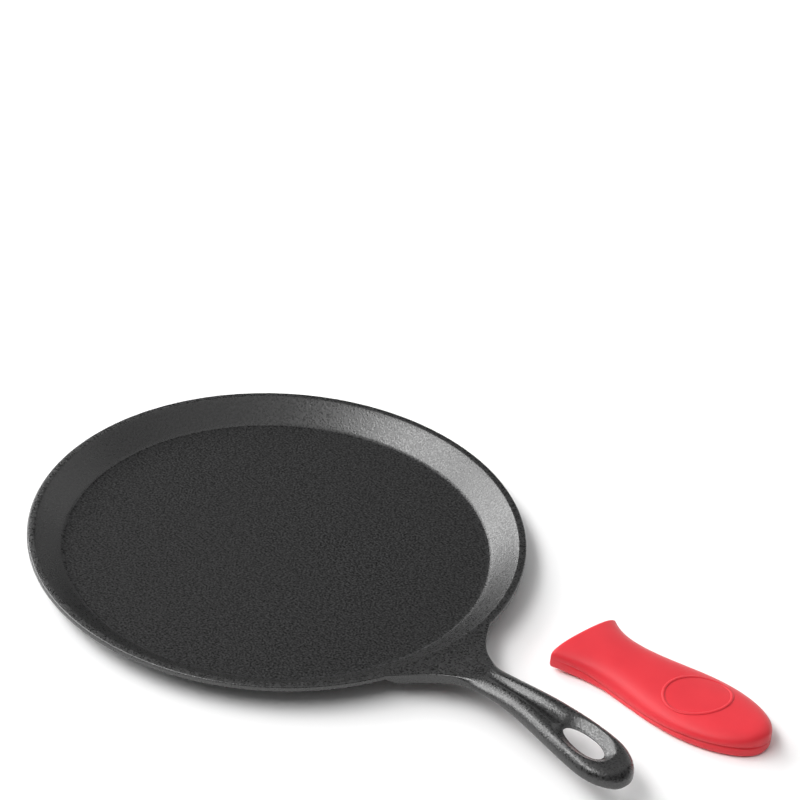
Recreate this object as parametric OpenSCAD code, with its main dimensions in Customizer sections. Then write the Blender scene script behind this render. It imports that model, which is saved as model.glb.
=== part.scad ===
// Cast-iron comal with a removable moulded handle sleeve, in millimetres.
// The origin is the centre of the flat base, on the table. +Z is up and +X runs along the handle.

/* [Griddle plate] */
// Diameter across the rim
rim_d = 266.7; // [220:0.1:340]
// Depth of the dish, from the lip down to the cooking surface
dish_depth = 10.5; // [8:0.1:18]
// Thickness of the plate under the cooking surface
plate_t = 4.5; // [3.5:0.1:8]
// Width of the flat lip on top of the rim
lip_w = 4; // [3:0.1:7]
// Height of the upright outer face of the lip
lip_h = 2.7; // [2:0.1:4]
// How far the sloped wall runs in from the lip, seen from above
slope_run = 14.9; // [12:0.1:24]
// Radius where the cooking surface turns up into the sloped wall
floor_round = 4; // [1:0.1:8]
// Radius where the flat base turns up into the outer wall
base_round = 6; // [1:0.1:10]
// Radius on the outer edges of the lip
lip_round = 0.8; // [0.3:0.1:0.9]

/* [Handle] */
// Length of the handle, from the rim to its tip
handle_len = 127.2; // [118:0.1:150]
// Width of the web where it meets the rim
web_w = 72; // [50:0.5:90]
// Width of the handle at its neck
neck_w = 20; // [16:0.1:24]
// Distance from the rim to the neck
neck_at = 29.7; // [22:0.1:40]
// Distance from the rim to the highest point of the arch
arch_at = 71.7; // [55:0.1:85]
// Height of the arch's highest point above the lip
arch_rise = 11.9; // [4:0.1:20]
// How steeply the handle leaves the rim, from 0 for level
arch_lead = 0.8; // [0:0.05:1.5]
// Fall from the highest point of the arch to the tip
tip_fall = 3.9; // [0:0.1:8]
// Thickness of the web
web_t = 5.6; // [4:0.1:8]
// Thickness of the handle
handle_t = 8.2; // [7:0.1:12]
// Depth of the thumb groove along the top of the handle
groove_d = 2.4; // [0.5:0.1:3]
// Width of the rounded shoulder on each side of the groove
shoulder_w = 6; // [3:0.1:8]
// Height of the rounded shoulder
shoulder_h = 5.6; // [2:0.1:6]
// Rounding along the underside of the handle
under_round = 2; // [1:0.1:3]
// Rounding along the edges of the web
web_round = 0.8; // [0.4:0.1:1.2]

/* [Hanging hole] */
// Width of the hole half way down, where it is narrowest
hole_w = 11.6; // [8:0.1:16]
// Length of the hole half way down
hole_len = 25.8; // [20:0.1:30]
// How far the hole flares out to the top and to the underside
hole_flare = 5.2; // [2:0.1:6]
// Width of the iron between the hole and the tip, half way down
tip_bar = 17.2; // [15:0.1:22]
// Width of the ring round the hole
ring_w = 30.8; // [28:0.1:38]
// Length of the round tip, from the widest place of the ring
tip_round = 21.9; // [16:0.1:28]

/* [Handle sleeve] */
// Clearance between the handle and the inside of the sleeve
sleeve_fit = 0.4; // [0.2:0.05:1]
// Thickness of the sleeve's top and bottom walls
sleeve_wall = 2; // [1.5:0.1:3.5]
// Thickness of the sleeve's side walls
sleeve_side = 2; // [1.8:0.1:3.5]
// Thickness of the sleeve's closed end
sleeve_end = 3; // [2:0.1:6]
// Length of handle that the sleeve covers
sleeve_cover = 109.4; // [100:0.1:118]
// Width of the sleeve at its flared mouth
mouth_w = 46.6; // [42:0.1:56]
// Rise of the mouth's crown above the crown of the belly
mouth_crown = 2.6; // [0:0.1:5]
// Height of the mouth's underside off the table
mouth_lift = 2.5; // [0:0.1:4]
// Angle at which the soft mouth and the oval lie askew, from 0 for square
sleeve_skew = 11; // [0:0.5:15]
// Width of the sleeve at its belly
belly_w = 46.6; // [43:0.1:54]
// Distance from the mouth to the sleeve's waist
waist_at = 22; // [14:0.5:30]
// Distance from the mouth to the sleeve's belly
belly_at = 69.5; // [55:0.5:76]
// Depth of the seam that runs round the sides of the sleeve
seam_d = 1; // [0.4:0.1:1.2]
// Width of that seam
seam_w = 1.8; // [0.8:0.1:2.4]
// Rounding under the sides of the sleeve
sleeve_round = 2.6; // [1:0.1:3]
// Distance from the mouth to the middle of the raised oval
oval_at = 70.5; // [56:0.5:76]
// Length of the raised oval on the sleeve, along the sleeve
oval_len = 30.5; // [20:0.5:36]
// Width of the raised oval, across the sleeve
oval_w = 33; // [20:0.5:34]
// Radius of the bead that draws the oval
bead_r = 0.8; // [0.4:0.1:1.2]

/* [Sleeve beside the handle] */
// Free space between the handle's side and the sleeve's mouth
sleeve_gap = 30.2; // [15:0.1:60]
// Distance from the rim to the sleeve's mouth, along the handle
sleeve_along = 29.3; // [15:0.1:60]
// Angle between the sleeve and the handle
sleeve_turn = 9.7; // [0:0.1:20]

/* [Hidden] */
$fn = 96;

// Steps on each rounded edge, across the groove, and along each stretch of the handle and sleeve
edge_steps = 5;
groove_steps = 6;
dome_steps = 9;
web_steps = 9;
grip_steps = 14;
end_steps = 9;
// The round ends of the handle and the sleeve are drawn this far round, and a small cap closes them
end_sweep = 84;

// Griddle plate
rim_r = rim_d / 2;
rim_h = plate_t + dish_depth;
lip_r = rim_r - lip_w;
floor_r = lip_r - slope_run;
slope_angle = atan2(dish_depth, slope_run);
base_r = rim_r - (rim_h - lip_h) / tan(slope_angle);
cut_over = 40;

// Handle stations, as distances along X from the centre of the plate
tip_x = rim_r + handle_len;
root_x = sqrt(rim_r * rim_r - web_w * web_w / 4);
neck_x = rim_r + neck_at;
arch_x = rim_r + arch_at;
ring_x = tip_x - tip_round;
hole_end_x = tip_x - tip_bar;
// The hole is widest at this share of its length
hole_wide_share = 0.6;
hole_x = hole_end_x - (1 - hole_wide_share) * hole_len;
hole_back = hole_wide_share * hole_len;
hole_front = hole_len - hole_back;
hole_sides = 48;
// The handle starts to swell a little past the neck
swell_x = neck_x + 0.35 * neck_at;
// The web's crisp edges turn into round shoulders about the neck
shoulder_from = rim_r + 0.6 * neck_at;
shoulder_to = neck_x + 0.2 * neck_at;
groove_from = rim_r + 0.65 * neck_at;
groove_to = neck_x + 0.85 * neck_at;
// The groove runs out over this share of the round tip
groove_fade = 0.45;
// The first section lies inside the wall, so that the web grows out of the rim
bury = 2;
// The web's top lies this far below the lip where it leaves the rim
web_step = 0.15;
// Least height of the flat band between a section's upper and lower rounding
side_band = 0.4;
// Largest share of a section's half width that its upper and its lower rounding may take
over_share = 0.95;
under_share = 0.8;

// Sleeve
waist_w = ring_w + 2 * (sleeve_fit + sleeve_side);
sleeve_h = handle_t + 2 * (sleeve_fit + sleeve_wall);
sleeve_len = sleeve_cover + sleeve_fit + sleeve_end;
// Share of the sleeve's height at which the seam lies at both ends, and how much lower it dips between them
seam_share = 0.46;
seam_dip = 0.19;
// Shares of the sleeve's length at which the seam is lowest and at which it is back up
seam_low_share = 0.4;
seam_back_share = 0.89;
// Powers of the curves that draw the crown outside and inside, where 2 is an ellipse
crown_power = 2.8;
bore_power = 3;
// Power of the curve along which the crown rises towards the mouth
rise_power = 1.5;
// The crown rounds down to the closed end over this length, keeping this share of its height
nose_run = 7;
nose_keep = 0.4;
// The middle of the oval's bead lies this far under the crown
bead_sink = 0.3 * bead_r;
bead_rings = 48;
bead_sides = 6;
// The seam leaves at least this share of the half width, at the very end
notch_keep = 0.35;
// The mouth's slant fades out over this length
skew_run = 1.5 * waist_at;

function ease(t) = let (u = min(1, max(0, t))) u * u * (3 - 2 * u);
function quarter_drop(d, r) = d >= r ? 0 : 1 - sqrt(1 - pow(1 - max(0, d) / r, 2));
function arc_points(centre, r, from, to) =
    [for (i = [0:edge_steps]) let (a = from + (to - from) * i / edge_steps)
        centre + r * [cos(a), sin(a)]];
function closed_loop(half) =
    concat(half, [for (i = [len(half) - 2:-1:1]) [-half[i][0], half[i][1]]]);
function at_station(x, loop) = [for (p = loop) [x, p[0], p[1]]];

// Triangles between neighbouring rings of n points, seen clockwise from outside
function skin(first, rings, n) =
    [for (i = [0:rings - 2], j = [0:n - 1])
        let (a = first + i * n + j, b = first + i * n + (j + 1) % n)
        each [[a, a + n, b + n], [a, b + n, b]]];
function inside_out(faces) = [for (f = faces) [f[2], f[1], f[0]]];
// A fan from a middle point closes the first or the last ring
function cap_start(middle, first, n) = [for (j = [0:n - 1]) [middle, first + j, first + (j + 1) % n]];
function cap_end(middle, first, n) = inside_out(cap_start(middle, first, n));
function loop_middle(x, half) = [x, 0, (half[0][1] + half[len(half) - 1][1]) / 2];

// Half width of the handle, seen from above
function handle_half_w(x) =
    x < neck_x ? neck_w / 2 + (web_w - neck_w) / 2 * pow((neck_x - x) / (neck_x - root_x), 2)
    : x < ring_x
        ? neck_w / 2 + (ring_w - neck_w) / 2 * ease((x - swell_x) / (ring_x - swell_x))
    : ring_w / 2 * sqrt(max(0, 1 - pow((x - ring_x) / tip_round, 2)));

// Height of the handle's two ridges above the lip
function arch_z(x) =
    x < rim_r ? 0
    : x < arch_x ? let (t = (x - rim_r) / arch_at)
        arch_rise * (arch_lead * t * pow(1 - t, 2) + t * t * (3 - 2 * t))
    : arch_rise - tip_fall * pow((x - arch_x) / (tip_x - arch_x), 2);

function handle_thick(x) = web_t + (handle_t - web_t) * ease((x - neck_x) / (arch_x - neck_x));
function shoulder_blend(x) = ease((x - shoulder_from) / (shoulder_to - shoulder_from));
function groove_z(x) =
    groove_d * ease((x - groove_from) / (groove_to - groove_from))
    * (1 - ease((x - ring_x) / (groove_fade * tip_round)));

// One half of the handle's section, from the middle of its underside up to the middle of its groove
function handle_section(x) =
    let (
        w = handle_half_w(x),
        thick = handle_thick(x),
        blend = shoulder_blend(x),
        top = rim_h - web_step + arch_z(x),
        under = top - thick,
        upper = web_round + (shoulder_h - web_round) * blend,
        lower = web_round + (under_round - web_round) * blend,
        fit = min(1, (thick - side_band) / (upper + lower)),
        band_top = top - upper * fit,
        band_low = under + lower * fit,
        run = web_round + (shoulder_w - web_round) * blend,
        over_w = min(run, over_share * w),
        under_w = min(lower, under_share * w),
        crest = top - (top - band_top) * quarter_drop(tip_x - x, run),
        belly = under + (band_low - under) * quarter_drop(tip_x - x, lower),
        ridge_y = w - over_w
    )
    concat(
        [[0, belly]],
        [for (i = [0:edge_steps]) let (a = 90 * i / edge_steps)
            [w - under_w + under_w * sin(a), band_low - (band_low - belly) * cos(a)]],
        [for (i = [0:edge_steps]) let (a = 90 * i / edge_steps)
            [ridge_y + over_w * cos(a), band_top + (crest - band_top) * sin(a)]],
        [for (i = [1:groove_steps]) let (y = ridge_y * (1 - i / groove_steps))
            [y, crest - groove_z(x) * pow(cos(90 * y / ridge_y), 2)]]
    );

// Stations are close together at the web and round the tip
function handle_stations() = concat(
    [for (i = [0:web_steps - 1]) root_x - bury + (neck_x - root_x + bury) * i / web_steps],
    [for (i = [0:grip_steps - 1]) neck_x + (ring_x - neck_x) * i / grip_steps],
    [for (i = [0:end_steps]) ring_x + tip_round * sin(end_sweep * i / end_steps)]
);

module handle_bar() {
    stations = handle_stations();
    halves = [for (x = stations) handle_section(x)];
    rings = len(stations);
    last = rings - 1;
    n = len(closed_loop(halves[0]));
    middles = rings * n;
    polyhedron(
        points = concat(
            [for (i = [0:last]) each at_station(stations[i], closed_loop(halves[i]))],
            [for (i = [0, last]) loop_middle(stations[i], halves[i])]
        ),
        faces = concat(cap_start(middles, 0, n), skin(0, rings, n), cap_end(middles + 1, last * n, n))
    );
}

// The hole's outline is an egg, drawn out by a distance, at a height above its narrowest level
function hole_ring(out, z) =
    [for (i = [0:hole_sides - 1])
        let (
            a = 360 * i / hole_sides,
            reach = cos(a) < 0 ? hole_back : hole_front,
            dir = [hole_w / 2 * cos(a), reach * sin(a)],
            wide = out / norm(dir)
        )
        [reach * cos(a) + wide * dir[0], hole_w / 2 * sin(a) + wide * dir[1], z]];

// The hole is narrowest half way down, where the two halves of the mould met, and flares to both faces
module hanging_hole() {
    level = rim_h - web_step + arch_z(hole_x) - handle_t / 2;
    fall = atan(2 * tip_fall * (hole_x - arch_x) / pow(tip_x - arch_x, 2));
    // The cutter reaches past both faces along the same slope
    reach = handle_t;
    out = hole_flare * reach / (handle_t / 2);
    middles = 3 * hole_sides;
    translate([hole_x, 0, level])
        rotate([0, fall, 0])
        polyhedron(
            points = concat(
                hole_ring(out, -reach), hole_ring(0, 0), hole_ring(out, reach),
                [[0, 0, -reach], [0, 0, reach]]
            ),
            faces = concat(
                cap_start(middles, 0, hole_sides),
                skin(0, 3, hole_sides),
                cap_end(middles + 1, 2 * hole_sides, hole_sides)
            )
        );
}

// Outside of the plate and rim as one solid of revolution
module plate_body() {
    round_run = base_round * tan(slope_angle / 2);
    rotate_extrude()
        polygon(concat(
            [[0, 0]],
            arc_points([base_r - round_run, base_round], base_round, 270, 270 + slope_angle),
            [[rim_r, rim_h - lip_h]],
            arc_points([rim_r - lip_round, rim_h - lip_round], lip_round, 0, 90),
            [[0, rim_h]]
        ));
}

// The dish above the cooking surface
module dish() {
    round_run = floor_round * tan(slope_angle / 2);
    rotate_extrude()
        polygon(concat(
            [[0, plate_t]],
            arc_points([floor_r - round_run, plate_t + floor_round], floor_round, 270, 270 + slope_angle),
            [[lip_r, rim_h], [lip_r, rim_h + cut_over], [0, rim_h + cut_over]]
        ));
}

module pan() {
    color("#2b2b2c")
        difference() {
            union() {
                plate_body();
                handle_bar();
            }
            dish();
            hanging_hole();
        }
}

// Half width of the sleeve, drawn in by inset, with its closed end at end
function sleeve_half_w(s, inset, end) =
    s < waist_at ? waist_w / 2 - inset + (mouth_w - waist_w) / 2 * pow(1 - s / waist_at, 2)
    : s < belly_at
        ? waist_w / 2 - inset + (belly_w - waist_w) / 2 * ease((s - waist_at) / (belly_at - waist_at))
    : (belly_w / 2 - inset) * sqrt(max(0, 1 - pow((s - belly_at) / (end - belly_at), 2)));

function sleeve_top(s) = sleeve_h + mouth_crown * pow(max(0, 1 - s / belly_at), rise_power);
function sleeve_floor(s) = mouth_lift * pow(max(0, 1 - s / waist_at), 2);
function seam_bow(s) =
    let (low = seam_low_share * sleeve_len, back = seam_back_share * sleeve_len)
    s < low ? ease(s / low) : 1 - ease((s - low) / (back - low));
// Height at which a section is widest, where the seam runs outside
function seam_z(s, dip) =
    sleeve_floor(s) + (seam_share - dip * seam_bow(s)) * (sleeve_top(s) - sleeve_floor(s));
function nose(s, end) = nose_keep + (1 - nose_keep) * (1 - quarter_drop(end - s, nose_run));

// Height of the sleeve's crown over a point
function crown_z(s, y) =
    let (low = seam_z(s, seam_dip) + seam_w / 2, share = min(1, abs(y) / sleeve_half_w(s, 0, sleeve_len)))
    low + (sleeve_top(s) - low) * nose(s, sleeve_len) * pow(1 - pow(share, crown_power), 1 / crown_power);

// One half of a sleeve section, from the middle of its underside up to the middle of its crown
function sleeve_section(s, end, inset, wall, seam, dip, power) =
    let (
        w = sleeve_half_w(s, inset, end),
        low = sleeve_floor(s) + wall,
        seam_at = seam_z(s, dip),
        band_top = seam_at + seam_w / 2,
        high = band_top + (sleeve_top(s) - wall - band_top) * nose(s, end),
        r = min(sleeve_round, seam_at - seam_w / 2 - low),
        r_w = min(r, under_share * w),
        belly = low + r * quarter_drop(end - s, r),
        notch_w = max(notch_keep * w, sleeve_half_w(s, inset + seam, end - seam))
    )
    concat(
        [[0, belly]],
        [for (i = [0:edge_steps]) let (a = 90 * i / edge_steps)
            [w - r_w + r_w * sin(a), low + r - (low + r - belly) * cos(a)]],
        [[w, seam_at - seam_w / 2], [seam > 0 ? notch_w : w, seam_at], [w, band_top]],
        [for (i = [1:dome_steps]) let (a = 90 * i / dome_steps)
            [w * pow(cos(a), 2 / power), band_top + (high - band_top) * pow(sin(a), 2 / power)]]
    );

function sleeve_stations(end) = concat(
    [for (i = [0:web_steps - 1]) waist_at * i / web_steps],
    [for (i = [0:web_steps - 1]) waist_at + (belly_at - waist_at) * i / web_steps],
    [for (i = [0:end_steps]) belly_at + (end - belly_at) * sin(end_sweep * i / end_steps)]
);

// Places a sleeve section at its station, with the slant that the mouth has there
function sleeve_ring(s, half) =
    let (slant = tan(sleeve_skew) * pow(max(0, 1 - s / skew_run), 2))
    [for (p = closed_loop(half)) [s + p[0] * slant, p[0], p[1]]];

// The seam fades out towards the mouth
function seam_depth(s) = seam_d * ease(s / waist_at);

module sleeve_shell() {
    bore_end = sleeve_len - sleeve_end;
    outer = sleeve_stations(sleeve_len);
    inner = sleeve_stations(bore_end);
    outer_halves = [for (s = outer)
        sleeve_section(s, sleeve_len, 0, 0, seam_depth(s), seam_dip, crown_power)];
    inner_halves = [for (s = inner)
        sleeve_section(s, bore_end, sleeve_side, sleeve_wall, 0, 0, bore_power)];
    rings = len(outer);
    last = rings - 1;
    n = len(closed_loop(outer_halves[0]));
    bore = rings * n;
    middles = 2 * rings * n;
    polyhedron(
        points = concat(
            [for (i = [0:last]) each sleeve_ring(outer[i], outer_halves[i])],
            [for (i = [0:last]) each sleeve_ring(inner[i], inner_halves[i])],
            [loop_middle(outer[last], outer_halves[last]), loop_middle(inner[last], inner_halves[last])]
        ),
        faces = concat(
            skin(0, rings, n),
            cap_end(middles, last * n, n),
            inside_out(skin(bore, rings, n)),
            cap_start(middles + 1, bore + last * n, n),
            [for (j = [0:n - 1]) let (k = (j + 1) % n) each [[j, k, bore + k], [j, bore + k, bore + j]]]
        )
    );
}

// A round bead laid along an oval on the crown
module oval_bead() {
    points = [for (i = [0:bead_rings - 1], j = [0:bead_sides - 1])
        let (
            a = 360 * i / bead_rings,
            b = 360 * j / bead_sides,
            out = [cos(a) * oval_w, sin(a) * oval_len - cos(a) * oval_w * tan(sleeve_skew)],
            dir = out / norm(out),
            y = oval_w / 2 * sin(a),
            s = oval_at + oval_len / 2 * cos(a) + y * tan(sleeve_skew)
        )
        [s + bead_r * cos(b) * dir[0], y + bead_r * cos(b) * dir[1],
            crown_z(s, y) - bead_sink + bead_r * sin(b)]];
    faces = [for (i = [0:bead_rings - 1], j = [0:bead_sides - 1])
        let (
            next = (i + 1) % bead_rings * bead_sides,
            turn = (j + 1) % bead_sides,
            a = i * bead_sides + j,
            b = i * bead_sides + turn,
            c = next + j,
            d = next + turn
        )
        each [[a, d, c], [a, b, d]]];
    polyhedron(points = points, faces = faces);
}

module handle_sleeve() {
    color("#e0383e")
        translate([rim_r + sleeve_along, ring_w / 2 + sleeve_gap + mouth_w / 2, 0])
        rotate([0, 0, sleeve_turn])
        union() {
            sleeve_shell();
            oval_bead();
        }
}

pan();
handle_sleeve();
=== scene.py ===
# %% [markdown]
# # A cast-iron comal and its silicone handle sleeve
#
# A comal is a griddle for tortillas. This one is a single iron casting: a round plate with a low
# sloped rim and an arched handle with a thumb groove and a hanging hole. A red silicone sleeve lies
# beside it, ready to be pushed over the handle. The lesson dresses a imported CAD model, so it starts
# by loading that model and keeping its box. Lengths below are in millimetres, and each finished
# piece is scaled to metres.

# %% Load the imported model
import math

import bmesh
import bpy
from mathutils import Matrix, Vector


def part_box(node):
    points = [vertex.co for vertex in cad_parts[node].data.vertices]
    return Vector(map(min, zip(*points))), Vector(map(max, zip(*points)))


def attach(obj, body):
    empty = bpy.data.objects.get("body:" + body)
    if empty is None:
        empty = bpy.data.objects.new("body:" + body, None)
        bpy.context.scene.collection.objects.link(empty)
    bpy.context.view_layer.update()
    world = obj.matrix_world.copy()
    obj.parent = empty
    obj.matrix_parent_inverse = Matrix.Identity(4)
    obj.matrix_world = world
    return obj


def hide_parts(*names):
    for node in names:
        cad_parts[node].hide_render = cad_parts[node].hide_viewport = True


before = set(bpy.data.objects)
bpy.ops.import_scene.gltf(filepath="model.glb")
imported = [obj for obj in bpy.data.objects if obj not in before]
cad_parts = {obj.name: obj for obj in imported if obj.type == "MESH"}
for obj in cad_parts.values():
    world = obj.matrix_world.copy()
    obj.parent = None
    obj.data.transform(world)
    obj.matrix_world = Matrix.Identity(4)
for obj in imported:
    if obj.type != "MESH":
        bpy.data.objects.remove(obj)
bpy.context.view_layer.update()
MM = 0.001

# %% [markdown]
# ## The griddle plate
#
# The plate is round, so its cross-section says everything about it. It could be modelled from a
# cylinder with insets, but a founder turns such a pattern on a lathe, and so does this lesson: a
# wire of a few corner points is drawn from the middle of the cooking surface, over the lip, to the
# middle of the base.

# %% Draw the half profile of the plate
pan_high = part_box("pan")[1]
INSIDE_BOX = 0.01
RIM_R = pan_high.y / MM - INSIDE_BOX
DISH_DEPTH = 10.5
PLATE_T = 4.5
LIP_W = 4.0
LIP_H = 2.7
SLOPE_RUN = 14.9
WEB_T = 5.6
WEB_STEP = 0.15
FLOOR_EDGE = 5.0
BASE_EDGE = 4.0

RIM_H = PLATE_T + DISH_DEPTH
SLOPE = math.atan2(DISH_DEPTH, SLOPE_RUN)
LIP_R = RIM_R - LIP_W
FLOOR_R = LIP_R - SLOPE_RUN
LIP_LOW = RIM_H - LIP_H
WEB_LOW = RIM_H - WEB_STEP - WEB_T


def outer_wall_r(z):
    """Radius of the sloped outer wall at a height below the lip."""
    return RIM_R - (LIP_LOW - z) / math.tan(SLOPE)


BASE_R = outer_wall_r(0)
corners = {
    "cooking surface": (0, PLATE_T),
    "half way out": (FLOOR_R / 2, PLATE_T),
    "floor edge": (FLOOR_R - FLOOR_EDGE, PLATE_T),
    "floor corner": (FLOOR_R, PLATE_T),
    "lip inside": (LIP_R, RIM_H),
    "lip outside": (RIM_R, RIM_H),
    "lip below": (RIM_R, LIP_LOW),
    "web below": (outer_wall_r(WEB_LOW), WEB_LOW),
    "base corner": (BASE_R, 0),
    "base edge": (BASE_R - BASE_EDGE, 0),
    "half way in": (BASE_R / 2, 0),
    "base": (0, 0),
}
pan = bmesh.new()
wire = {name: pan.verts.new((r, 0, z)) for name, (r, z) in corners.items()}
points = list(wire.values())
for a, b in zip(points, points[1:]):
    pan.edges.new((a, b))
print("profile corners:", len(points))

# %% [markdown]
# A casting has no sharp edges, because sand crumbles at them. Bevelling the finished plate would
# touch every column of it, so each corner of the wire is bevelled to an arc before anything is
# spun. The long slopes are then cut into shorter edges, which keeps the spun faces well shaped.

# %% Round the corners of the profile
FLOOR_ROUND = 6.0
BASE_ROUND = 6.0
WIDE_STEPS = 8
LIP_ROUND = 0.8
LIP_INSIDE_ROUND = 1.2
LIP_STEPS = 4
LOWER_LIP_ROUND = 0.5
LOWER_LIP_STEPS = 3
LONG_EDGE = 9.0
STEEP_RISE = 2.0
SLOPE_CUTS = 5


def round_corner(bm, vert, radius, segments):
    """Bevel one corner of a wire to an arc of the given radius."""
    before, after = [e.other_vert(vert).co - vert.co for e in vert.link_edges]
    turn = math.pi - before.angle(after)
    bmesh.ops.bevel(bm, geom=[vert], offset=radius * math.tan(turn / 2), offset_type="OFFSET",
                    affect="VERTICES", segments=segments, profile=0.5, material=-1)


round_corner(pan, wire["floor corner"], FLOOR_ROUND, WIDE_STEPS)
round_corner(pan, wire["lip inside"], LIP_INSIDE_ROUND, LIP_STEPS)
round_corner(pan, wire["lip outside"], LIP_ROUND, LIP_STEPS)
round_corner(pan, wire["lip below"], LOWER_LIP_ROUND, LOWER_LIP_STEPS)
round_corner(pan, wire["base corner"], BASE_ROUND, WIDE_STEPS)
long_slopes = []
for edge in pan.edges:
    rise = abs(edge.verts[0].co.z - edge.verts[1].co.z)
    if edge.calc_length() > LONG_EDGE and rise > STEEP_RISE:
        long_slopes.append(edge)
bmesh.ops.subdivide_edges(pan, edges=long_slopes, cuts=SLOPE_CUTS)
print("profile points after rounding:", len(pan.verts))

# %% [markdown]
# Each profile point gets a row number before the spin, and the spin copies it to every column. The
# rows are what lets the handle find its root in the rim later on. The number of steps is chosen so
# that a column falls exactly on each edge of the root.

# %% Spin the profile into the plate
WEB_W = 72.0
ROOT_COLUMNS = 16
MERGE_WITHIN = 1e-3
root_angle = math.asin(WEB_W / 2 / RIM_R)
SPIN_STEPS = round(2 * math.pi / root_angle * ROOT_COLUMNS)
column_angle = 2 * math.pi / SPIN_STEPS

row = pan.verts.layers.int.new("row")


def nearest(verts, place):
    """The vertex that lies closest to a place."""
    return min(verts, key=lambda v: (v.co - Vector(place)).length)


along = [nearest(pan.verts, (0, 0, PLATE_T))]
while len(along) < len(pan.verts):
    ahead = [e.other_vert(along[-1]) for e in along[-1].link_edges]
    along.append(next(v for v in ahead if v not in along))
for number, vert in enumerate(along):
    vert[row] = number
lip_row = nearest(along, (RIM_R - LIP_ROUND, 0, RIM_H))[row]
under_row = nearest(along, (outer_wall_r(WEB_LOW), 0, WEB_LOW))[row]

bmesh.ops.spin(pan, geom=pan.verts[:] + pan.edges[:], cent=(0, 0, 0), axis=(0, 0, 1), dvec=(0, 0, 0),
               angle=2 * math.pi, steps=SPIN_STEPS, use_merge=True, use_duplicate=False)
bmesh.ops.remove_doubles(pan, verts=pan.verts[:], dist=MERGE_WITHIN)
print("plate faces:", len(pan.faces), "columns:", SPIN_STEPS)
print("side rows of the root:", under_row - lip_row)

# %% [markdown]
# ## The handle
#
# Web, handle and ring are poured with the plate, so they must be the same skin, with no seam at the
# rim. A separate bar joined with a boolean would leave a hard line there. Instead a window is
# opened in the outside of the rim, and its edge, a closed ring of vertices, is extruded outwards
# station by station.

# %% Open the rim where the handle grows out
def column_of(vert):
    """Number of the spin column that a vertex of the plate lies on, 0 along the handle."""
    return round(math.atan2(vert.co.y, vert.co.x) / column_angle)


def in_root(face):
    """True for a face of the rim's outside that the handle takes the place of."""
    rows = [v[row] for v in face.verts]
    columns = [column_of(v) for v in face.verts]
    return min(rows) >= lip_row and max(rows) <= under_row and max(map(abs, columns)) <= ROOT_COLUMNS


window = [f for f in pan.faces if in_root(f)]
bmesh.ops.delete(pan, geom=window, context="FACES")
edge_of_window = {v for e in pan.edges if e.is_boundary for v in e.verts}
by_place = {(v[row], column_of(v)): v for v in edge_of_window}


def half_ring(side):
    """Vertices of the window from the middle of its top, round one side, to the middle of its bottom."""
    top = [by_place[lip_row, side * c] for c in range(ROOT_COLUMNS)]
    flank = [by_place[r, side * ROOT_COLUMNS] for r in range(lip_row, under_row + 1)]
    bottom = [by_place[under_row, side * c] for c in range(ROOT_COLUMNS - 1, -1, -1)]
    return top + flank + bottom


root_ring = half_ring(1) + half_ring(-1)[-2:0:-1]
print("window faces:", len(window), "ring of vertices:", len(root_ring))

# %% [markdown]
# The handle's outline, arch, thickness and groove each follow a short formula of the distance x
# from the middle of the plate. Keeping them as small functions makes it easy to see which one draws
# which feature.

# %% Say how the handle runs
NECK_W = 20.0
NECK_AT = 29.7
ARCH_AT = 71.7
ARCH_RISE = pan_high.z / MM - RIM_H + WEB_STEP - INSIDE_BOX
ARCH_LEAD = 0.8
TIP_FALL = 3.9
HANDLE_T = 8.2
GROOVE_D = 2.4
RING_W = 30.8
TIP_ROUND = 21.9
SWELL_SHARE = 0.35
GROOVE_START_SHARE = 0.65
GROOVE_FULL_SHARE = 0.85
GROOVE_END_SHARE = 0.45

tip_x = pan_high.x / MM
root_x = RIM_R * math.cos(root_angle)
neck_x = RIM_R + NECK_AT
arch_x = RIM_R + ARCH_AT
ring_x = tip_x - TIP_ROUND
swell_x = neck_x + SWELL_SHARE * NECK_AT


def ease(t):
    """Smooth step from 0 to 1."""
    u = min(1.0, max(0.0, t))
    return u * u * (3 - 2 * u)


def handle_half_w(x):
    """Half width of web, handle and ring, seen from above."""
    if x < neck_x:
        return NECK_W / 2 + (WEB_W - NECK_W) / 2 * ((neck_x - x) / (neck_x - root_x)) ** 2
    if x < ring_x:
        return NECK_W / 2 + (RING_W - NECK_W) / 2 * ease((x - swell_x) / (ring_x - swell_x))
    return RING_W / 2 * math.sqrt(max(0.0, 1 - ((x - ring_x) / TIP_ROUND) ** 2))


def arch_z(x):
    """Height of the handle's ridges above the lip."""
    if x < RIM_R:
        return 0.0
    if x < arch_x:
        t = (x - RIM_R) / ARCH_AT
        return ARCH_RISE * (ARCH_LEAD * t * (1 - t) ** 2 + t * t * (3 - 2 * t))
    return ARCH_RISE - TIP_FALL * ((x - arch_x) / (tip_x - arch_x)) ** 2


def groove_depth(x):
    """Depth of the thumb groove, which starts past the web and runs out behind the hole."""
    start = RIM_R + GROOVE_START_SHARE * NECK_AT
    full = neck_x + GROOVE_FULL_SHARE * NECK_AT
    run_out = GROOVE_END_SHARE * TIP_ROUND
    return GROOVE_D * ease((x - start) / (full - start)) * (1 - ease((x - ring_x) / run_out))


print("neck, arch, ring and tip at x:", [round(v, 1) for v in (neck_x, arch_x, ring_x, tip_x)])

# %% [markdown]
# The hanging hole is an egg in plan. A moulder gives such a hole sloping walls, so that the pattern
# draws out of the sand: it is narrowest half way down, where the two halves of the mould met, and
# flares to both faces. The flare is not cut here. It is said as a height over each point, which the
# section below takes as its upper limit.

# %% Say how the hanging hole flares
HOLE_W = 11.6
HOLE_LEN = 25.8
HOLE_FRONT_SHARE = 0.4
HOLE_FLARE = 5.2
TIP_BAR = 17.2
PARTING_HALF = 0.3

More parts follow.
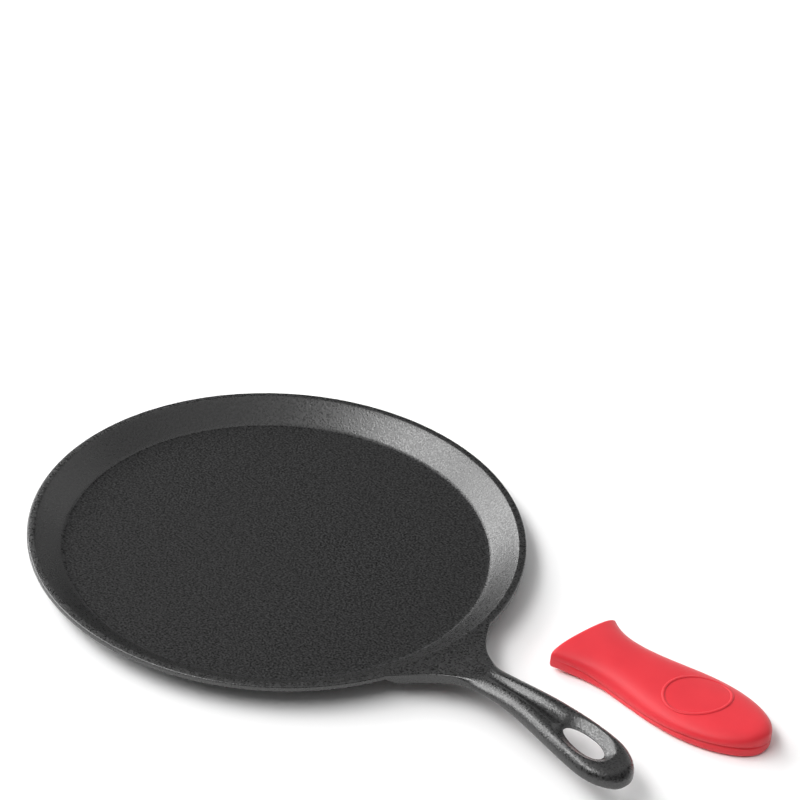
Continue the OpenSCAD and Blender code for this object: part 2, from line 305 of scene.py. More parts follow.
hole_end_x = tip_x - TIP_BAR
hole_front = HOLE_FRONT_SHARE * HOLE_LEN
hole_back = HOLE_LEN - hole_front
hole_x = hole_end_x - hole_front
hole_start_x = hole_x - hole_back


def hole_half_w(x):
    """Half width of the hole at its narrowest level, 0 outside it."""
    reach = hole_back if x < hole_x else hole_front
    return HOLE_W / 2 * math.sqrt(max(0.0, 1 - ((x - hole_x) / reach) ** 2))


def flare_rise(x, y):
    """How far the flared wall has climbed from the hole's narrowest level, over a point."""
    reach = hole_back if x < hole_x else hole_front
    along, across = (x - hole_x) / reach, y / (HOLE_W / 2)
    size = math.hypot(along, across)
    if size <= 1:
        return PARTING_HALF
    gap = (size - 1) * size / math.hypot(along / reach, across / (HOLE_W / 2))
    return max(PARTING_HALF, gap * HANDLE_T / 2 / HOLE_FLARE)


def soft_least(a, b, blend):
    """The smaller of two heights, with the corner between them rounded over a blend."""
    near = max(0.0, blend - abs(a - b)) / blend
    return min(a, b) - near * near * blend / 4


print("hole from x", round(hole_start_x, 1), "to", round(hole_end_x, 1), "widest at", round(hole_x, 1))

# %% [markdown]
# A section of the handle is a half loop: the groove, a round shoulder, a narrow upright band, a
# rounded lower edge and the flat underside. At the root the ring's vertices are spread evenly, and
# towards the neck they move on to the shoulder, where the curves need them.

# %% Say what a section of the handle looks like
SHOULDER_W = 6.0
SHOULDER_H = 5.6
UNDER_ROUND = 2.0
WEB_ROUND = 0.8
SIDE_BAND = 0.4
FIRST_COLUMN = 0.7
HOLE_EDGE = 0.4
OVER_SHARE = 0.95
UNDER_SHARE = 0.8
FIRST_SHARE = 0.2
ROUNDING_SHARE = 0.6
rounding_run = ROUNDING_SHARE * NECK_AT


def quarter_drop(distance, radius):
    """How far a quarter round of this radius has dropped, as a share, at a distance from its end."""
    if distance >= radius:
        return 0.0
    return 1 - math.sqrt(1 - (1 - max(0.0, distance) / radius) ** 2)


def column_share(column, first, spread):
    """Where a column lies: 0 at the middle, 1 where the rounding starts, 2 at the corner of the ring."""
    even = column / ROOT_COLUMNS
    own = 0.0 if column == 0 else first + (2 - first) * (column - 1) / (ROOT_COLUMNS - 1)
    return even + (own - even) * spread


def handle_section(x, spread):
    """Half loop of (y, height below the crest line) at x."""
    w = handle_half_w(x)
    thick = WEB_T + (HANDLE_T - WEB_T) * ease((x - neck_x) / (arch_x - neck_x))
    blend = ease((x - RIM_R - rounding_run) / rounding_run)
    upper = WEB_ROUND + (SHOULDER_H - WEB_ROUND) * blend
    lower = WEB_ROUND + (UNDER_ROUND - WEB_ROUND) * blend
    run = WEB_ROUND + (SHOULDER_W - WEB_ROUND) * blend
    fit = min(1.0, (thick - SIDE_BAND) / (upper + lower))
    band_top = -upper * fit
    band_low = -thick + lower * fit
    over_w = min(run, OVER_SHARE * w)
    under_w = min(lower, UNDER_SHARE * w)
    crest = band_top * quarter_drop(tip_x - x, run)
    belly = -thick + (band_low + thick) * quarter_drop(tip_x - x, lower)
    ridge_y = w - over_w
    flat_y = w - under_w
    first_y = max(hole_half_w(x), min(FIRST_COLUMN, FIRST_SHARE * ridge_y))
    mid = -HANDLE_T / 2

    def shoulder(angle):
        return ridge_y + over_w * math.cos(angle), band_top + (crest - band_top) * math.sin(angle)

    def lower_edge(angle):
        return flat_y + under_w * math.cos(angle), band_low - (band_low - belly) * math.sin(angle)

    def on_top(share):
        y, z = ridge_y * share, crest - groove_depth(x) * math.cos(math.pi / 2 * min(1, share)) ** 2
        if share > 1:
            y, z = shoulder(math.radians(90 - 45 * (share - 1)))
        return y, soft_least(z, mid + flare_rise(x, y), HOLE_EDGE)

    def below(share):
        y, z = flat_y * share, belly
        if share > 1:
            y, z = lower_edge(math.radians(90 - 45 * (share - 1)))
        return y, -soft_least(-z, flare_rise(x, y) - mid, HOLE_EDGE)

    corner = math.radians(90 - 45 * spread)
    columns = range(ROOT_COLUMNS + 1)
    top = [on_top(column_share(c, first_y / ridge_y, spread)) for c in columns]
    flank = [shoulder(corner * (1 - i / LIP_STEPS)) for i in range(1, LIP_STEPS + 1)]
    flank += [lower_edge(corner * i / LIP_STEPS) for i in range(LIP_STEPS)]
    bottom = [below(column_share(c, first_y / flat_y, spread)) for c in reversed(columns)]
    return top + flank + bottom


print("points in half a section:", len(handle_section(arch_x, 1.0)))

# %% [markdown]
# Extruding an edge ring gives new vertices on top of the old ones. Each new vertex shares one edge
# with the vertex it came from, and that is how the helper keeps the order of the ring before it
# moves it to its place.

# %% Extrude the ring along the handle
def grow_ring(bm, ring, places):
    """Extrude a closed ring of vertices and lay the new ring on the given places."""
    edges = [bm.edges.get(pair) for pair in zip(ring, ring[1:] + ring[:1])]
    made = bmesh.ops.extrude_edge_only(bm, edges=edges)["geom"]
    fresh = [v for v in made if isinstance(v, bmesh.types.BMVert)]
    old = set(ring)
    follower = {}
    for vert in fresh:
        source = next(e.other_vert(vert) for e in vert.link_edges if e.other_vert(vert) in old)
        follower[source] = vert
    grown = [follower[v] for v in ring]
    for vert, place in zip(grown, places):
        vert.co = place
    return grown


def handle_ring(x_middle, x_edge, spread):
    """Places of a whole ring, bowed from x_edge at its sides to x_middle, like the rim it grew from."""
    half = handle_section(x_edge, spread)
    w = handle_half_w(x_edge)
    loop = half + [(-y, z) for y, z in half[-2:0:-1]]
    places = []
    for y, z in loop:
        x = x_middle + (x_edge - x_middle) * (y / w) ** 2
        places.append((x, y, RIM_H + arch_z(x) - WEB_STEP * ease((x - RIM_R) / NECK_AT) + z))
    return places


WEB_RINGS = 12
GRIP_RINGS = 24
FLARE_RUN = 6.0
ring = root_ring
for i in range(1, WEB_RINGS + 1):
    t = i / WEB_RINGS
    ring = grow_ring(pan, ring, handle_ring(RIM_R + NECK_AT * t, root_x + (neck_x - root_x) * t, t))
for i in range(1, GRIP_RINGS + 1):
    x = neck_x + (hole_start_x - FLARE_RUN - neck_x) * i / GRIP_RINGS
    ring = grow_ring(pan, ring, handle_ring(x, x, 1.0))
print("rings to the flare:", WEB_RINGS + GRIP_RINGS)

# %% [markdown]
# Round the hole the stations follow the egg's own curve, so the two middle columns of each ring can
# run along its outline. The flared ends before and after it get close stations too. Past them the
# stations follow the round tip, and the last ring is drawn together to a point.

# %% Carry the ring round the hole and close the tip
FLARE_STEPS = 10
EGG_STEPS = 12
TIP_STEPS = 12
TIP_TURN = math.radians(88.5)
first_turn = math.asin(FIRST_COLUMN / (HOLE_W / 2))
egg_turns = [first_turn + (math.pi / 2 - first_turn) * i / EGG_STEPS for i in range(EGG_STEPS + 1)]
hole_stations = [hole_x - hole_back * math.cos(a) for a in egg_turns]
hole_stations += [hole_x + hole_front * math.cos(a) for a in reversed(egg_turns[:-1])]
flare_in = [hole_start_x - FLARE_RUN * (1 - i / FLARE_STEPS) for i in range(1, FLARE_STEPS + 1)]
flare_out = [hole_end_x + FLARE_RUN * i / FLARE_STEPS for i in range(FLARE_STEPS)]
hole_rings = []
for x in flare_in + hole_stations + flare_out:
    ring = grow_ring(pan, ring, handle_ring(x, x, 1.0))
    if x in hole_stations:
        hole_rings.append(ring)
bar_start = math.asin((hole_end_x + FLARE_RUN - ring_x) / TIP_ROUND)
for i in range(TIP_STEPS + 1):
    x = ring_x + TIP_ROUND * math.sin(bar_start + (TIP_TURN - bar_start) * i / TIP_STEPS)
    ring = grow_ring(pan, ring, handle_ring(x, x, 1.0))
tip = Vector((tip_x, 0, sum(v.co.z for v in ring) / len(ring)))
grow_ring(pan, ring, [tip] * len(ring))
bmesh.ops.remove_doubles(pan, verts=pan.verts[:], dist=MERGE_WITHIN)
print("rings round the hole:", len(hole_rings), "faces:", len(pan.faces))

# %% [markdown]
# The flares have thinned the iron to a narrow band along the egg. Deleting the strip between the
# two middle columns, above and below, opens the hole. Bridging the two open edges makes the band of
# the parting line, and a bevel breaks its edges, as grinding and tumbling do on a casting.

# %% Cut the hanging hole
HOLE_ROUND = 0.18
half_count = len(handle_section(arch_x, 1.0))
middle_columns = {
    "top": (len(root_ring) - 1, 0, 1),
    "bottom": (half_count - 2, half_count - 1, half_count),
}
for columns in middle_columns.values():
    strip = {r[c] for r in hole_rings for c in columns}
    lids = [f for f in pan.faces if all(v in strip for v in f.verts)]
    bmesh.ops.delete(pan, geom=lids, context="FACES")
hole_edges = [e for e in pan.edges if e.is_boundary]
bmesh.ops.bridge_loops(pan, edges=hole_edges)
bmesh.ops.bevel(pan, geom=hole_edges, offset=HOLE_ROUND, offset_type="OFFSET", affect="EDGES", segments=2,
                profile=0.5, material=-1, clamp_overlap=True)
bmesh.ops.recalc_face_normals(pan, faces=pan.faces[:])
open_edges = sum(not e.is_manifold for e in pan.edges)
print("open edges:", open_edges, "volume in ml:", round(pan.calc_volume() / 1000, 1))

# %% [markdown]
# A piece is finished the same way each time: scaled to metres, shaded smooth, given its materials,
# tied to its CAD body, and put in the place of its CAD node, which is hidden.

# %% Finish a piece
def finish_piece(bm, name, materials, body, node):
    """Turn a bmesh in millimetres into a piece that rides on a CAD body and replaces a CAD node."""
    bmesh.ops.scale(bm, vec=(MM, MM, MM), verts=bm.verts[:])
    mesh = bpy.data.meshes.new(name)
    bm.to_mesh(mesh)
    bm.free()
    mesh.shade_smooth()
    for material in materials:
        mesh.materials.append(material)
    piece = bpy.data.objects.new(name, mesh)
    bpy.context.scene.collection.objects.link(piece)
    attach(piece, body)
    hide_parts(node)
    size = [round(d / MM, 1) for d in piece.dimensions]
    print(name, "faces:", len(mesh.polygons), "size in mm:", size)


# %% [markdown]
# ## Seasoned iron
#
# Sand-cast iron keeps the grain of the mould, and seasoning bakes oil on it to a dark satin skin. A
# flat black would look like plastic, and a strong bump like hammered metal. Three noises on Object
# coordinates do the work: a fine speckle moves the tone and the roughness together, as the pits
# that hold the oil do, a light bump stands for the sand, and a slow swell for the casting.

# %% Make helpers for the shader nodes
NOISE_LOW = 0.3
NOISE_HIGH = 0.7


def add_node(tree, kind, **sockets):
    """Add a shader node and set some of its input sockets."""
    node = tree.nodes.new(kind)
    for name, value in sockets.items():
        node.inputs[name].default_value = value
    return node


def noise_on(tree, coords, feature_mm, detail):
    """A noise texture with features of about this size, read in Object coordinates."""
    noise = add_node(tree, "ShaderNodeTexNoise", Scale=1 / (feature_mm * MM), Detail=detail)
    tree.links.new(coords.outputs["Object"], noise.inputs["Vector"])
    return noise


def stack_bump(tree, height, strength, distance_mm, below=None):
    """A bump node for one noise, laid over the bump below it."""
    bump = add_node(tree, "ShaderNodeBump", Strength=strength, Distance=distance_mm * MM)
    tree.links.new(height.outputs["Fac"], bump.inputs["Height"])
    if below:
        tree.links.new(below.outputs["Normal"], bump.inputs["Normal"])
    return bump


def tone_ramp(tree, source, dark, light):
    """A colour ramp between two tones over the useful middle of a noise."""
    ramp = add_node(tree, "ShaderNodeValToRGB")
    ends = zip(ramp.color_ramp.elements, (NOISE_LOW, NOISE_HIGH), (dark, light))
    for end, position, colour in ends:
        end.position = position
        end.color = (*colour, 1)
    tree.links.new(source.outputs["Fac"], ramp.inputs["Fac"])
    return ramp


def vary_roughness(tree, source, shader, low, high):
    """Let a noise move the shader's roughness between two values."""
    span = {"From Min": NOISE_LOW, "From Max": NOISE_HIGH, "To Min": low, "To Max": high}
    remap = add_node(tree, "ShaderNodeMapRange", **span)
    tree.links.new(source.outputs["Fac"], remap.inputs["Value"])
    tree.links.new(remap.outputs["Result"], shader.inputs["Roughness"])


def new_material(name):
    """An empty node material with its shader and Object coordinates."""
    material = bpy.data.materials.new(name)
    material.use_nodes = True
    tree = material.node_tree
    coords = add_node(tree, "ShaderNodeTexCoord")
    return material, tree, tree.nodes["Principled BSDF"], coords


# %% [markdown]
# The casting wants two finishes. The rim and the handle have the satin skin, and the cooking surface
# is made duller. How matt the real one is can only be guessed, but with the satin skin it would
# mirror the lamp behind it and look almost white from the handle's end. Both irons have the same
# grain, so one function makes them.

# %% Make two irons, satin and matt
SPECKLE_MM = 1.1
SAND_MM = 1.0
SWELL_MM = 9.0
PIT_TONE = (0.0, 0.0, 0.0)


def cast_iron(name, light, smooth, rough, gloss):
    """Iron with the mould's grain: its lightest tone, its least and most roughness, and its IOR."""
    iron, tree, shader, coords = new_material(name)
    speckle = noise_on(tree, coords, SPECKLE_MM, detail=1)
    sand = noise_on(tree, coords, SAND_MM, detail=1)
    swell = noise_on(tree, coords, SWELL_MM, detail=2)
    tone = tone_ramp(tree, speckle, PIT_TONE, light)
    tree.links.new(tone.outputs["Color"], shader.inputs["Base Color"])
    vary_roughness(tree, speckle, shader, smooth, rough)
    casting = stack_bump(tree, swell, strength=0.15, distance_mm=0.5)
    grain = stack_bump(tree, sand, strength=0.5, distance_mm=0.25, below=casting)
    tree.links.new(grain.outputs["Normal"], shader.inputs["Normal"])
    shader.inputs["IOR"].default_value = gloss
    return iron


SATIN_TONE = (0.015, 0.015, 0.0152)
MATT_TONE = (0.042, 0.042, 0.0425)
satin_iron = cast_iron("seasoned_iron", SATIN_TONE, smooth=0.20, rough=0.44, gloss=1.75)
matt_iron = cast_iron("cooking_surface_iron", MATT_TONE, smooth=0.50, rough=0.80, gloss=1.2)
print("irons:", satin_iron.name, "and", matt_iron.name)

# %% [markdown]
# The cooking surface could be a piece of its own, but it belongs to the same casting, so its faces
# take the second iron instead. They are the level ones at the height of the plate.

# %% Give the cooking surface its finish
MATT_SLOT = 1
LEVEL_WITHIN = 0.3
FACES_UP = 0.9
for face in pan.faces:
    middle = face.calc_center_median()
    level = abs(middle.z - PLATE_T) < LEVEL_WITHIN and face.normal.z > FACES_UP
    if level and middle.xy.length < FLOOR_R:
        face.material_index = MATT_SLOT
print("faces of the cooking surface:", sum(f.material_index == MATT_SLOT for f in pan.faces))

finish_piece(pan, "comal_pan", [satin_iron, matt_iron], "pan", "pan")

# %% [markdown]
# ## The handle sleeve
#
# The sleeve is moulded silicone, open at the mouth and closed at the other end, with a seam along
# its sides and a raised oval on its crown. Its outline, its crown and its seam each follow a short
# formula of the distance s from the mouth, as the handle's forms follow x.

# %% Say how the sleeve runs
SLEEVE_WALL = 2.0
SLEEVE_END = 3.0
SLEEVE_LEN = 112.8
SLEEVE_H = 13.0
MOUTH_W = 46.6
WAIST_W = 35.6
BELLY_W = 46.6
WAIST_AT = 22.0
BELLY_AT = 69.5
MOUTH_CROWN = 2.6
CROWN_FADE = 1.5
MOUTH_LIFT = 2.5
SLEEVE_SKEW = math.tan(math.radians(11))
SKEW_RUN = 1.5 * WAIST_AT
SEAM_SHARE = 0.46
SEAM_DIP = 0.27
SEAM_LOW_AT = 0.34 * SLEEVE_LEN
SEAM_BACK_AT = 0.99 * SLEEVE_LEN
SEAM_HALF = 0.9
SEAM_D = 1.0
UNDER_SIDE_ROUND = 2.6
NOSE_RUN = 7.0
NOSE_KEEP = 0.4


def sleeve_half_w(s, inset, end):
    """Half width at a distance s from the mouth, drawn in by inset, with the closed end at end."""
    if s < WAIST_AT:
        return WAIST_W / 2 - inset + (MOUTH_W - WAIST_W) / 2 * (1 - s / WAIST_AT) ** 2
    if s < BELLY_AT:
        swell = ease((s - WAIST_AT) / (BELLY_AT - WAIST_AT))
        return WAIST_W / 2 - inset + (BELLY_W - WAIST_W) / 2 * swell
    return (BELLY_W / 2 - inset) * math.sqrt(max(0.0, 1 - ((s - BELLY_AT) / (end - BELLY_AT)) ** 2))


def sleeve_top(s):
    """Height of the crown's middle."""
    return SLEEVE_H + MOUTH_CROWN * max(0.0, 1 - s / BELLY_AT) ** CROWN_FADE


def sleeve_floor(s):
    """Height of the underside, which lifts off the table at the mouth."""
    return MOUTH_LIFT * max(0.0, 1 - s / WAIST_AT) ** 2


def nose(s, end):
    """Share of the crown's height that is left towards the closed end."""
    return NOSE_KEEP + (1 - NOSE_KEEP) * (1 - quarter_drop(end - s, NOSE_RUN))


def seam_z(s, dip):
    """Height of the seam, which dips by a share of the sleeve's height between its ends."""
    bow = ease(s / SEAM_LOW_AT)
    if s > SEAM_LOW_AT:
        bow = 1 - ease((s - SEAM_LOW_AT) / (SEAM_BACK_AT - SEAM_LOW_AT))
    return sleeve_floor(s) + (SEAM_SHARE - dip * bow) * (sleeve_top(s) - sleeve_floor(s))


print("sleeve crown at mouth and belly:", sleeve_top(0), sleeve_top(BELLY_AT))

# %% [markdown]
# A section of the sleeve is a half loop too: a crown that is fuller than an ellipse, the sunk seam
# along the side, a rounded lower edge and the flat underside. The bore uses the same function, with
# the wall taken off and without the seam or its dip.

# %% Say what a section of the sleeve looks like
CROWN_POWER = 2.5
SEAM_MOST = 0.6
CROWN_STEPS = 16
SEAM_STEPS = 8
EDGE_STEPS = 6
FLAT_STEPS = 4


def sleeve_section(s, end, inset, wall, seam, dip):
    """Half loop of (y, z) from the middle of the crown to the middle of the underside."""
    w = sleeve_half_w(s, inset, end)
    low = sleeve_floor(s) + wall
    band_top = seam_z(s, dip) + SEAM_HALF
    band_low = seam_z(s, dip) - SEAM_HALF
    high = band_top + (sleeve_top(s) - wall - band_top) * nose(s, end)
    radius = min(UNDER_SIDE_ROUND, band_low - low)
    radius_w = min(radius, UNDER_SHARE * w)
    belly = low + radius * quarter_drop(end - s, radius)
    half = []
    for i in range(CROWN_STEPS + 1):
        a = math.pi / 2 * (1 - i / CROWN_STEPS)
        out, rise = (part ** (2 / CROWN_POWER) for part in (math.cos(a), math.sin(a)))
        half.append((w * out, band_top + (high - band_top) * rise))
    for i in range(1, SEAM_STEPS + 1):
        sunk = seam * math.sin(math.pi * i / SEAM_STEPS) ** 2
        half.append((w - min(sunk, SEAM_MOST * w), band_top + (band_low - band_top) * i / SEAM_STEPS))
    for i in range(EDGE_STEPS + 1):
        a = math.pi / 2 * i / EDGE_STEPS
        drop = (low + radius - belly) * math.sin(a)
        half.append((w - radius_w + radius_w * math.cos(a), low + radius - drop))
    for i in range(1, FLAT_STEPS + 1):
        half.append(((w - radius_w) * (1 - i / FLAT_STEPS), belly))
    return half


def lay_sleeve(s, half):
    """A whole ring from a half loop, with the slant that the soft mouth has there."""
    slant = SLEEVE_SKEW * max(0.0, 1 - s / SKEW_RUN) ** 2
    loop = half + [(-y, z) for y, z in half[-2:0:-1]]
    return [Vector((s + y * slant, y, z)) for y, z in loop]


def outside_ring(s):
    """Ring of the outer skin, with a seam that fades out towards the mouth."""
    seam = SEAM_D * ease(s / WAIST_AT)
    return lay_sleeve(s, sleeve_section(s, SLEEVE_LEN, inset=0, wall=0, seam=seam, dip=SEAM_DIP))


def inside_ring(s):
    """Ring of the bore, which has no seam."""
    end = SLEEVE_LEN - SLEEVE_END
    return lay_sleeve(s, sleeve_section(s, end, inset=SLEEVE_WALL, wall=SLEEVE_WALL, seam=0, dip=0))


print("points in a sleeve ring:", len(outside_ring(BELLY_AT)))

# %% [markdown]
# Like a stocking, the sleeve is one skin outside and inside. A solidify would give it the same wall
# everywhere, but its closed end is thicker than its sides. So it is grown as one chain of rings:
# from the closed end outside to the mouth, over its rounded edge, and back inside to the bottom of
# the bore.

# %% Grow the sleeve's skin
MOUTH_STEPS = 16
WAIST_STEPS = 30
BELLY_STEPS = 22
LIP_ARC_STEPS = 6
MOUTH_EDGE = 0.9
END_TURN = math.radians(88)


def sleeve_stations(start, end):
    """Distances from the mouth to the closed end, close together where the sleeve turns."""
    flare = [start + (WAIST_AT - start) * i / MOUTH_STEPS for i in range(MOUTH_STEPS)]
    waist = [WAIST_AT + (BELLY_AT - WAIST_AT) * i / WAIST_STEPS for i in range(WAIST_STEPS)]
    turns = [END_TURN * i / BELLY_STEPS for i in range(BELLY_STEPS + 1)]
    closed_end = [BELLY_AT + (end - BELLY_AT) * math.sin(turn) for turn in turns]
    return flare + waist + closed_end


outside = [outside_ring(s) for s in reversed(sleeve_stations(MOUTH_EDGE, SLEEVE_LEN))]
inside = [inside_ring(s) for s in sleeve_stations(MOUTH_EDGE, SLEEVE_LEN - SLEEVE_END)]
mouth_edge = []
for i in range(1, LIP_ARC_STEPS):
    a = math.pi * i / LIP_ARC_STEPS
    bulge = Vector((MOUTH_EDGE * math.sin(a), 0, 0))
    pairs = zip(outside[-1], inside[0])
    mouth_edge.append([(p + q) / 2 + (p - q) / 2 * math.cos(a) - bulge for p, q in pairs])
chain = outside + mouth_edge + inside

sleeve = bmesh.new()
ring = bmesh.ops.create_circle(sleeve, segments=len(chain[0]), radius=1, cap_ends=True)["verts"]
for vert, place in zip(ring, chain[0]):
    vert.co = place
for places in chain[1:]:
    ring = grow_ring(sleeve, ring, places)
bmesh.ops.contextual_create(sleeve, geom=ring)
caps = [f for f in sleeve.faces if len(f.verts) > 4]
bmesh.ops.poke(sleeve, faces=caps)
bmesh.ops.recalc_face_normals(sleeve, faces=sleeve.faces[:])
print("sleeve open edges:", sum(not e.is_manifold for e in sleeve.edges), "rings:", len(chain))

# %% [markdown]
# The raised oval is a soft ridge on the crown. It could be pressed into the skin, but that needs a
# much finer mesh all over. A bead that is partly sunk in the crown gives the same ridge: a small
# flattened circle is laid at each step of the oval and bridged to the next by the same ring helper,
# and the last ring is merged with the first.

# %% Lay the oval on the crown
OVAL_AT = 70.5
OVAL_LEN = 30.5
OVAL_W = 33.0
BEAD_HALF_W = 0.95
BEAD_RISE = 0.6
BEAD_SINK = 0.15
BEAD_SIDES = 12
BEAD_RINGS = 96


def crown_z(s, y):
    """Height of the outer skin above the table at a point of the crown."""
    low = seam_z(s, SEAM_DIP) + SEAM_HALF
    share = min(1.0, abs(y) / sleeve_half_w(s, 0, SLEEVE_LEN))
    bulge = (1 - share ** CROWN_POWER) ** (1 / CROWN_POWER)
    return low + (sleeve_top(s) - low) * nose(s, SLEEVE_LEN) * bulge


def bead_ring(turn):
    """A small flattened circle across the bead, at this angle round the oval."""
    y = OVAL_W / 2 * math.sin(turn)
    s = OVAL_AT + OVAL_LEN / 2 * math.cos(turn) + y * SLEEVE_SKEW
    forward = OVAL_W * math.cos(turn)
    out = Vector((forward, OVAL_LEN * math.sin(turn) - forward * SLEEVE_SKEW, 0))
    out.normalize()
    middle = Vector((s, y, crown_z(s, y) - BEAD_SINK))
    circle = []
    for j in range(BEAD_SIDES):
        a = 2 * math.pi * j / BEAD_SIDES
        circle.append(middle + out * BEAD_HALF_W * math.cos(a) + Vector((0, 0, BEAD_RISE * math.sin(a))))
    return circle


ring = bmesh.ops.create_circle(sleeve, segments=BEAD_SIDES, radius=1, cap_ends=False)["verts"]
bead = list(ring)
for vert, place in zip(ring, bead_ring(0)):
    vert.co = place
for i in range(1, BEAD_RINGS + 1):
    ring = grow_ring(sleeve, ring, bead_ring(2 * math.pi * i / BEAD_RINGS))
    bead += ring
bmesh.ops.remove_doubles(sleeve, verts=bead, dist=MERGE_WITHIN)
bmesh.ops.recalc_face_normals(sleeve, faces=sleeve.faces[:])
print("sleeve faces with the oval:", len(sleeve.faces))

# %% [markdown]
# The sleeve was grown along X from the middle of its mouth. Turning and moving the mesh, not the
# object, lays it beside the handle and keeps the object at the origin.

# %% Lay the sleeve beside the handle
SLEEVE_GAP = 30.2
SLEEVE_ALONG = 29.3
SLEEVE_TURN = math.radians(9.7)
mouth_place = Vector((RIM_R + SLEEVE_ALONG, RING_W / 2 + SLEEVE_GAP + MOUTH_W / 2, 0))
turned = Matrix.Rotation(SLEEVE_TURN, 3, "Z")
bmesh.ops.rotate(sleeve, verts=sleeve.verts[:], cent=(0, 0, 0), matrix=turned)
bmesh.ops.translate(sleeve, verts=sleeve.verts[:], vec=mouth_place)
print("middle of the mouth in mm:", [round(c, 1) for c in mouth_place])

# %% [markdown]
# ## Red silicone
#
# Moulded silicone is a strong even red with a satin skin. A little light enters it, so it never
# looks like painted metal, and a thin sheen stands for the dusty bloom that such rubber has. The
# tone and the roughness vary slightly, and a very fine bump breaks the highlight.

# %% Make the silicone's material
CLOUD_MM = 18
SKIN_MM = 0.6
DEEP_RED = (0.67, 0.016, 0.029)
CLEAR_RED = (0.72, 0.020, 0.033)
RUBBER = {
    "IOR": 1.45,
    "Sheen Weight": 0.15,
    "Sheen Roughness": 0.5,
    "Subsurface Weight": 0.12,
    "Subsurface Radius": (1.0, 0.25, 0.2),
    "Subsurface Scale": 1.5 * MM,
}
silicone, tree, shader, coords = new_material("red_silicone")
cloud = noise_on(tree, coords, CLOUD_MM, detail=3)
skin = noise_on(tree, coords, SKIN_MM, detail=2)
tone = tone_ramp(tree, cloud, DEEP_RED, CLEAR_RED)
tree.links.new(tone.outputs["Color"], shader.inputs["Base Color"])
vary_roughness(tree, cloud, shader, low=0.48, high=0.55)
satin = stack_bump(tree, skin, strength=0.15, distance_mm=0.04)
tree.links.new(satin.outputs["Normal"], shader.inputs["Normal"])
for socket, value in RUBBER.items():
    shader.inputs[socket].default_value = value

finish_piece(sleeve, "grip_sleeve", [silicone], "handle_sleeve", "handle_sleeve")

# %% [markdown]
# ## Floor, light and camera
#
# The comal stands on a sheet of white paper, wide enough to fill the picture. The paper has no
# light of its own: it is white because the lamps reach it, and it keeps the shadows.

# %% Build the floor
FLOOR_SIZE = 12.0
FLOOR_DROP = 0.1
PAPER_TONE = 0.95
floor_mesh = bmesh.new()
bmesh.ops.create_grid(floor_mesh, x_segments=1, y_segments=1, size=FLOOR_SIZE / 2)
bmesh.ops.translate(floor_mesh, verts=floor_mesh.verts[:], vec=(0, 0, -FLOOR_DROP * MM))
floor_data = bpy.data.meshes.new("white_floor")
floor_mesh.to_mesh(floor_data)
floor_mesh.free()
floor = bpy.data.objects.new("white_floor", floor_data)
bpy.context.scene.collection.objects.link(floor)

paper = bpy.data.materials.new("white_paper")
paper.use_nodes = True
matt = paper.node_tree.nodes["Principled BSDF"]
matt.inputs["Base Color"].default_value = (PAPER_TONE, PAPER_TONE, PAPER_TONE, 1)
matt.inputs["Roughness"].default_value = 1.0
matt.inputs["Specular IOR Level"].default_value = 0.0
floor_data.materials.append(paper)
print("floor:", FLOOR_SIZE, "m square")

# %% [markdown]
# Dark iron shows what it mirrors more than its own colour, so each lamp is placed by the face that
# should mirror it. A wide soft box high on the left lights the paper and the far side of the dish,
# a wide low one behind draws the bright edges of the rim and the handle, and a weak one fills the
# right. The studio round them is dim near the floor and pale overhead. Between the two it is almost
# black, because the level lip and the cooking surface mirror that part.

# %% Light the scene
STUDIO_TONES = {0.0: 0.5, 0.2: 0.3, 0.4: 0.05, 0.6: 0.16, 0.8: 0.5, 1.0: 0.7}
world = bpy.data.worlds.new("studio")
bpy.context.scene.world = world
world.use_nodes = True
studio = world.node_tree
background = studio.nodes["Background"]
direction = add_node(studio, "ShaderNodeTexCoord")
parts = add_node(studio, "ShaderNodeSeparateXYZ")
studio.links.new(direction.outputs["Generated"], parts.inputs["Vector"])
walls = add_node(studio, "ShaderNodeValToRGB")
stops = walls.color_ramp.elements
while len(stops) < len(STUDIO_TONES):
    stops.new(0.5)
for stop, (height, tone) in zip(stops, STUDIO_TONES.items()):
    stop.position = height
    stop.color = (tone, tone, tone, 1)
studio.links.new(parts.outputs["Z"], walls.inputs["Fac"])
studio.links.new(walls.outputs["Color"], background.inputs["Color"])


LAMP_DISTANCE = 4.0


def soft_box(name, toward, width, height, watts):
    """A rectangular lamp in this direction from the plate, facing the plate."""
    lamp = bpy.data.lights.new(name, "AREA")
    lamp.shape = "RECTANGLE"
    lamp.size = width
    lamp.size_y = height
    lamp.energy = watts
    box = bpy.data.objects.new(name, lamp)
    direction = Vector(toward).normalized()
    box.location = direction * LAMP_DISTANCE
    box.rotation_euler = (-direction).to_track_quat("-Z", "Y").to_euler()
    bpy.context.scene.collection.objects.link(box)


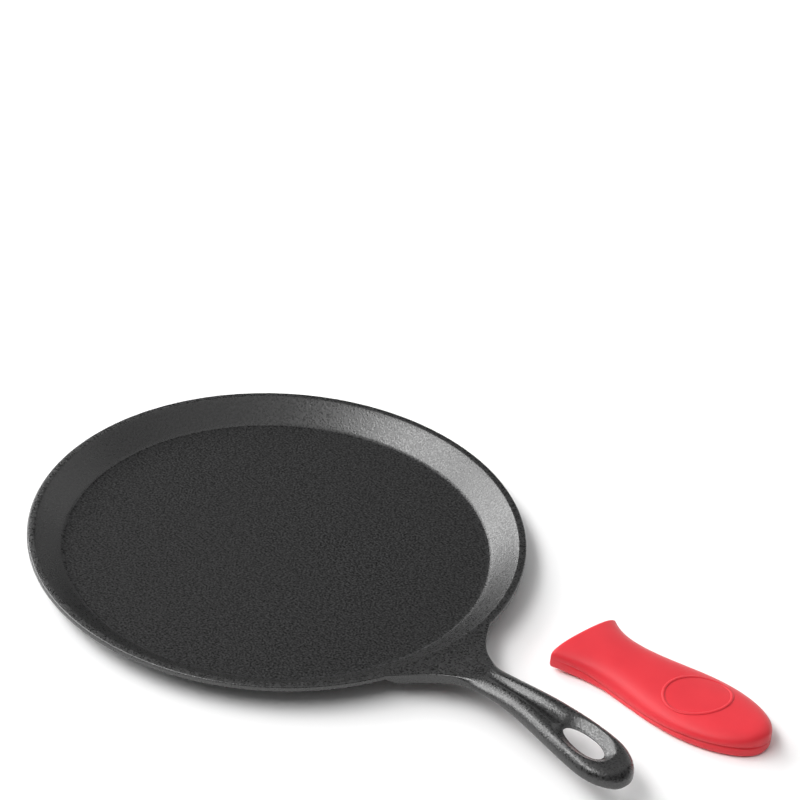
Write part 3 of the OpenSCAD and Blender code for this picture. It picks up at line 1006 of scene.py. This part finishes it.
MAIN_WATTS = 118
ACCENT_WATTS = 170
FILL_WATTS = 11
soft_box("left_box", (-0.24, -0.49, 0.84), width=4.2, height=1.3, watts=MAIN_WATTS)
soft_box("back_box", (-0.838, -0.240, 0.49), width=5.2, height=1.9, watts=ACCENT_WATTS)
soft_box("right_fill", (-0.02, 0.90, 0.43), width=2.0, height=3.0, watts=FILL_WATTS)
print("soft boxes:", MAIN_WATTS, ACCENT_WATTS, "and", FILL_WATTS, "W")

# %% [markdown]
# The camera stands where the photographer stood. Its angle, distance and roll were found from the
# ellipses of the rim, and the place of the rim's middle in the picture sets the framing without any
# lens shift.

# %% Set the camera
VIEW_AZIMUTH = math.radians(46)
VIEW_ELEVATION = math.radians(32.92)
VIEW_ROLL = math.radians(4.36)
VIEW_DEPTH = 1.3914
SENSOR_MM = 36
IMAGE_PX = 800
FOCAL_PX = 2600
RIM_MIDDLE_PX = (278.36, 528.15)

reach = math.cos(VIEW_ELEVATION)
back = Vector((math.sin(VIEW_AZIMUTH) * reach, -math.cos(VIEW_AZIMUTH) * reach, math.sin(VIEW_ELEVATION)))
level = Vector((math.cos(VIEW_AZIMUTH), math.sin(VIEW_AZIMUTH), 0))
upright = back.cross(level)
right = level * math.cos(VIEW_ROLL) + upright * math.sin(VIEW_ROLL)
up = upright * math.cos(VIEW_ROLL) - level * math.sin(VIEW_ROLL)
across = (RIM_MIDDLE_PX[0] - IMAGE_PX / 2) / FOCAL_PX * VIEW_DEPTH
down = (RIM_MIDDLE_PX[1] - IMAGE_PX / 2) / FOCAL_PX * VIEW_DEPTH
eye = Vector((0, 0, RIM_H * MM)) + back * VIEW_DEPTH - right * across + up * down

camera_data = bpy.data.cameras.new("camera")
camera_data.sensor_width = SENSOR_MM
camera_data.lens = SENSOR_MM * FOCAL_PX / IMAGE_PX
camera = bpy.data.objects.new("camera", camera_data)
turn = Matrix((right, up, back)).transposed().to_4x4()
camera.matrix_world = Matrix.Translation(eye) @ turn
bpy.context.scene.collection.objects.link(camera)
bpy.context.scene.camera = camera
bpy.context.scene.view_settings.view_transform = "Standard"
print("camera at", [round(c, 3) for c in eye], "lens", round(camera_data.lens, 1))
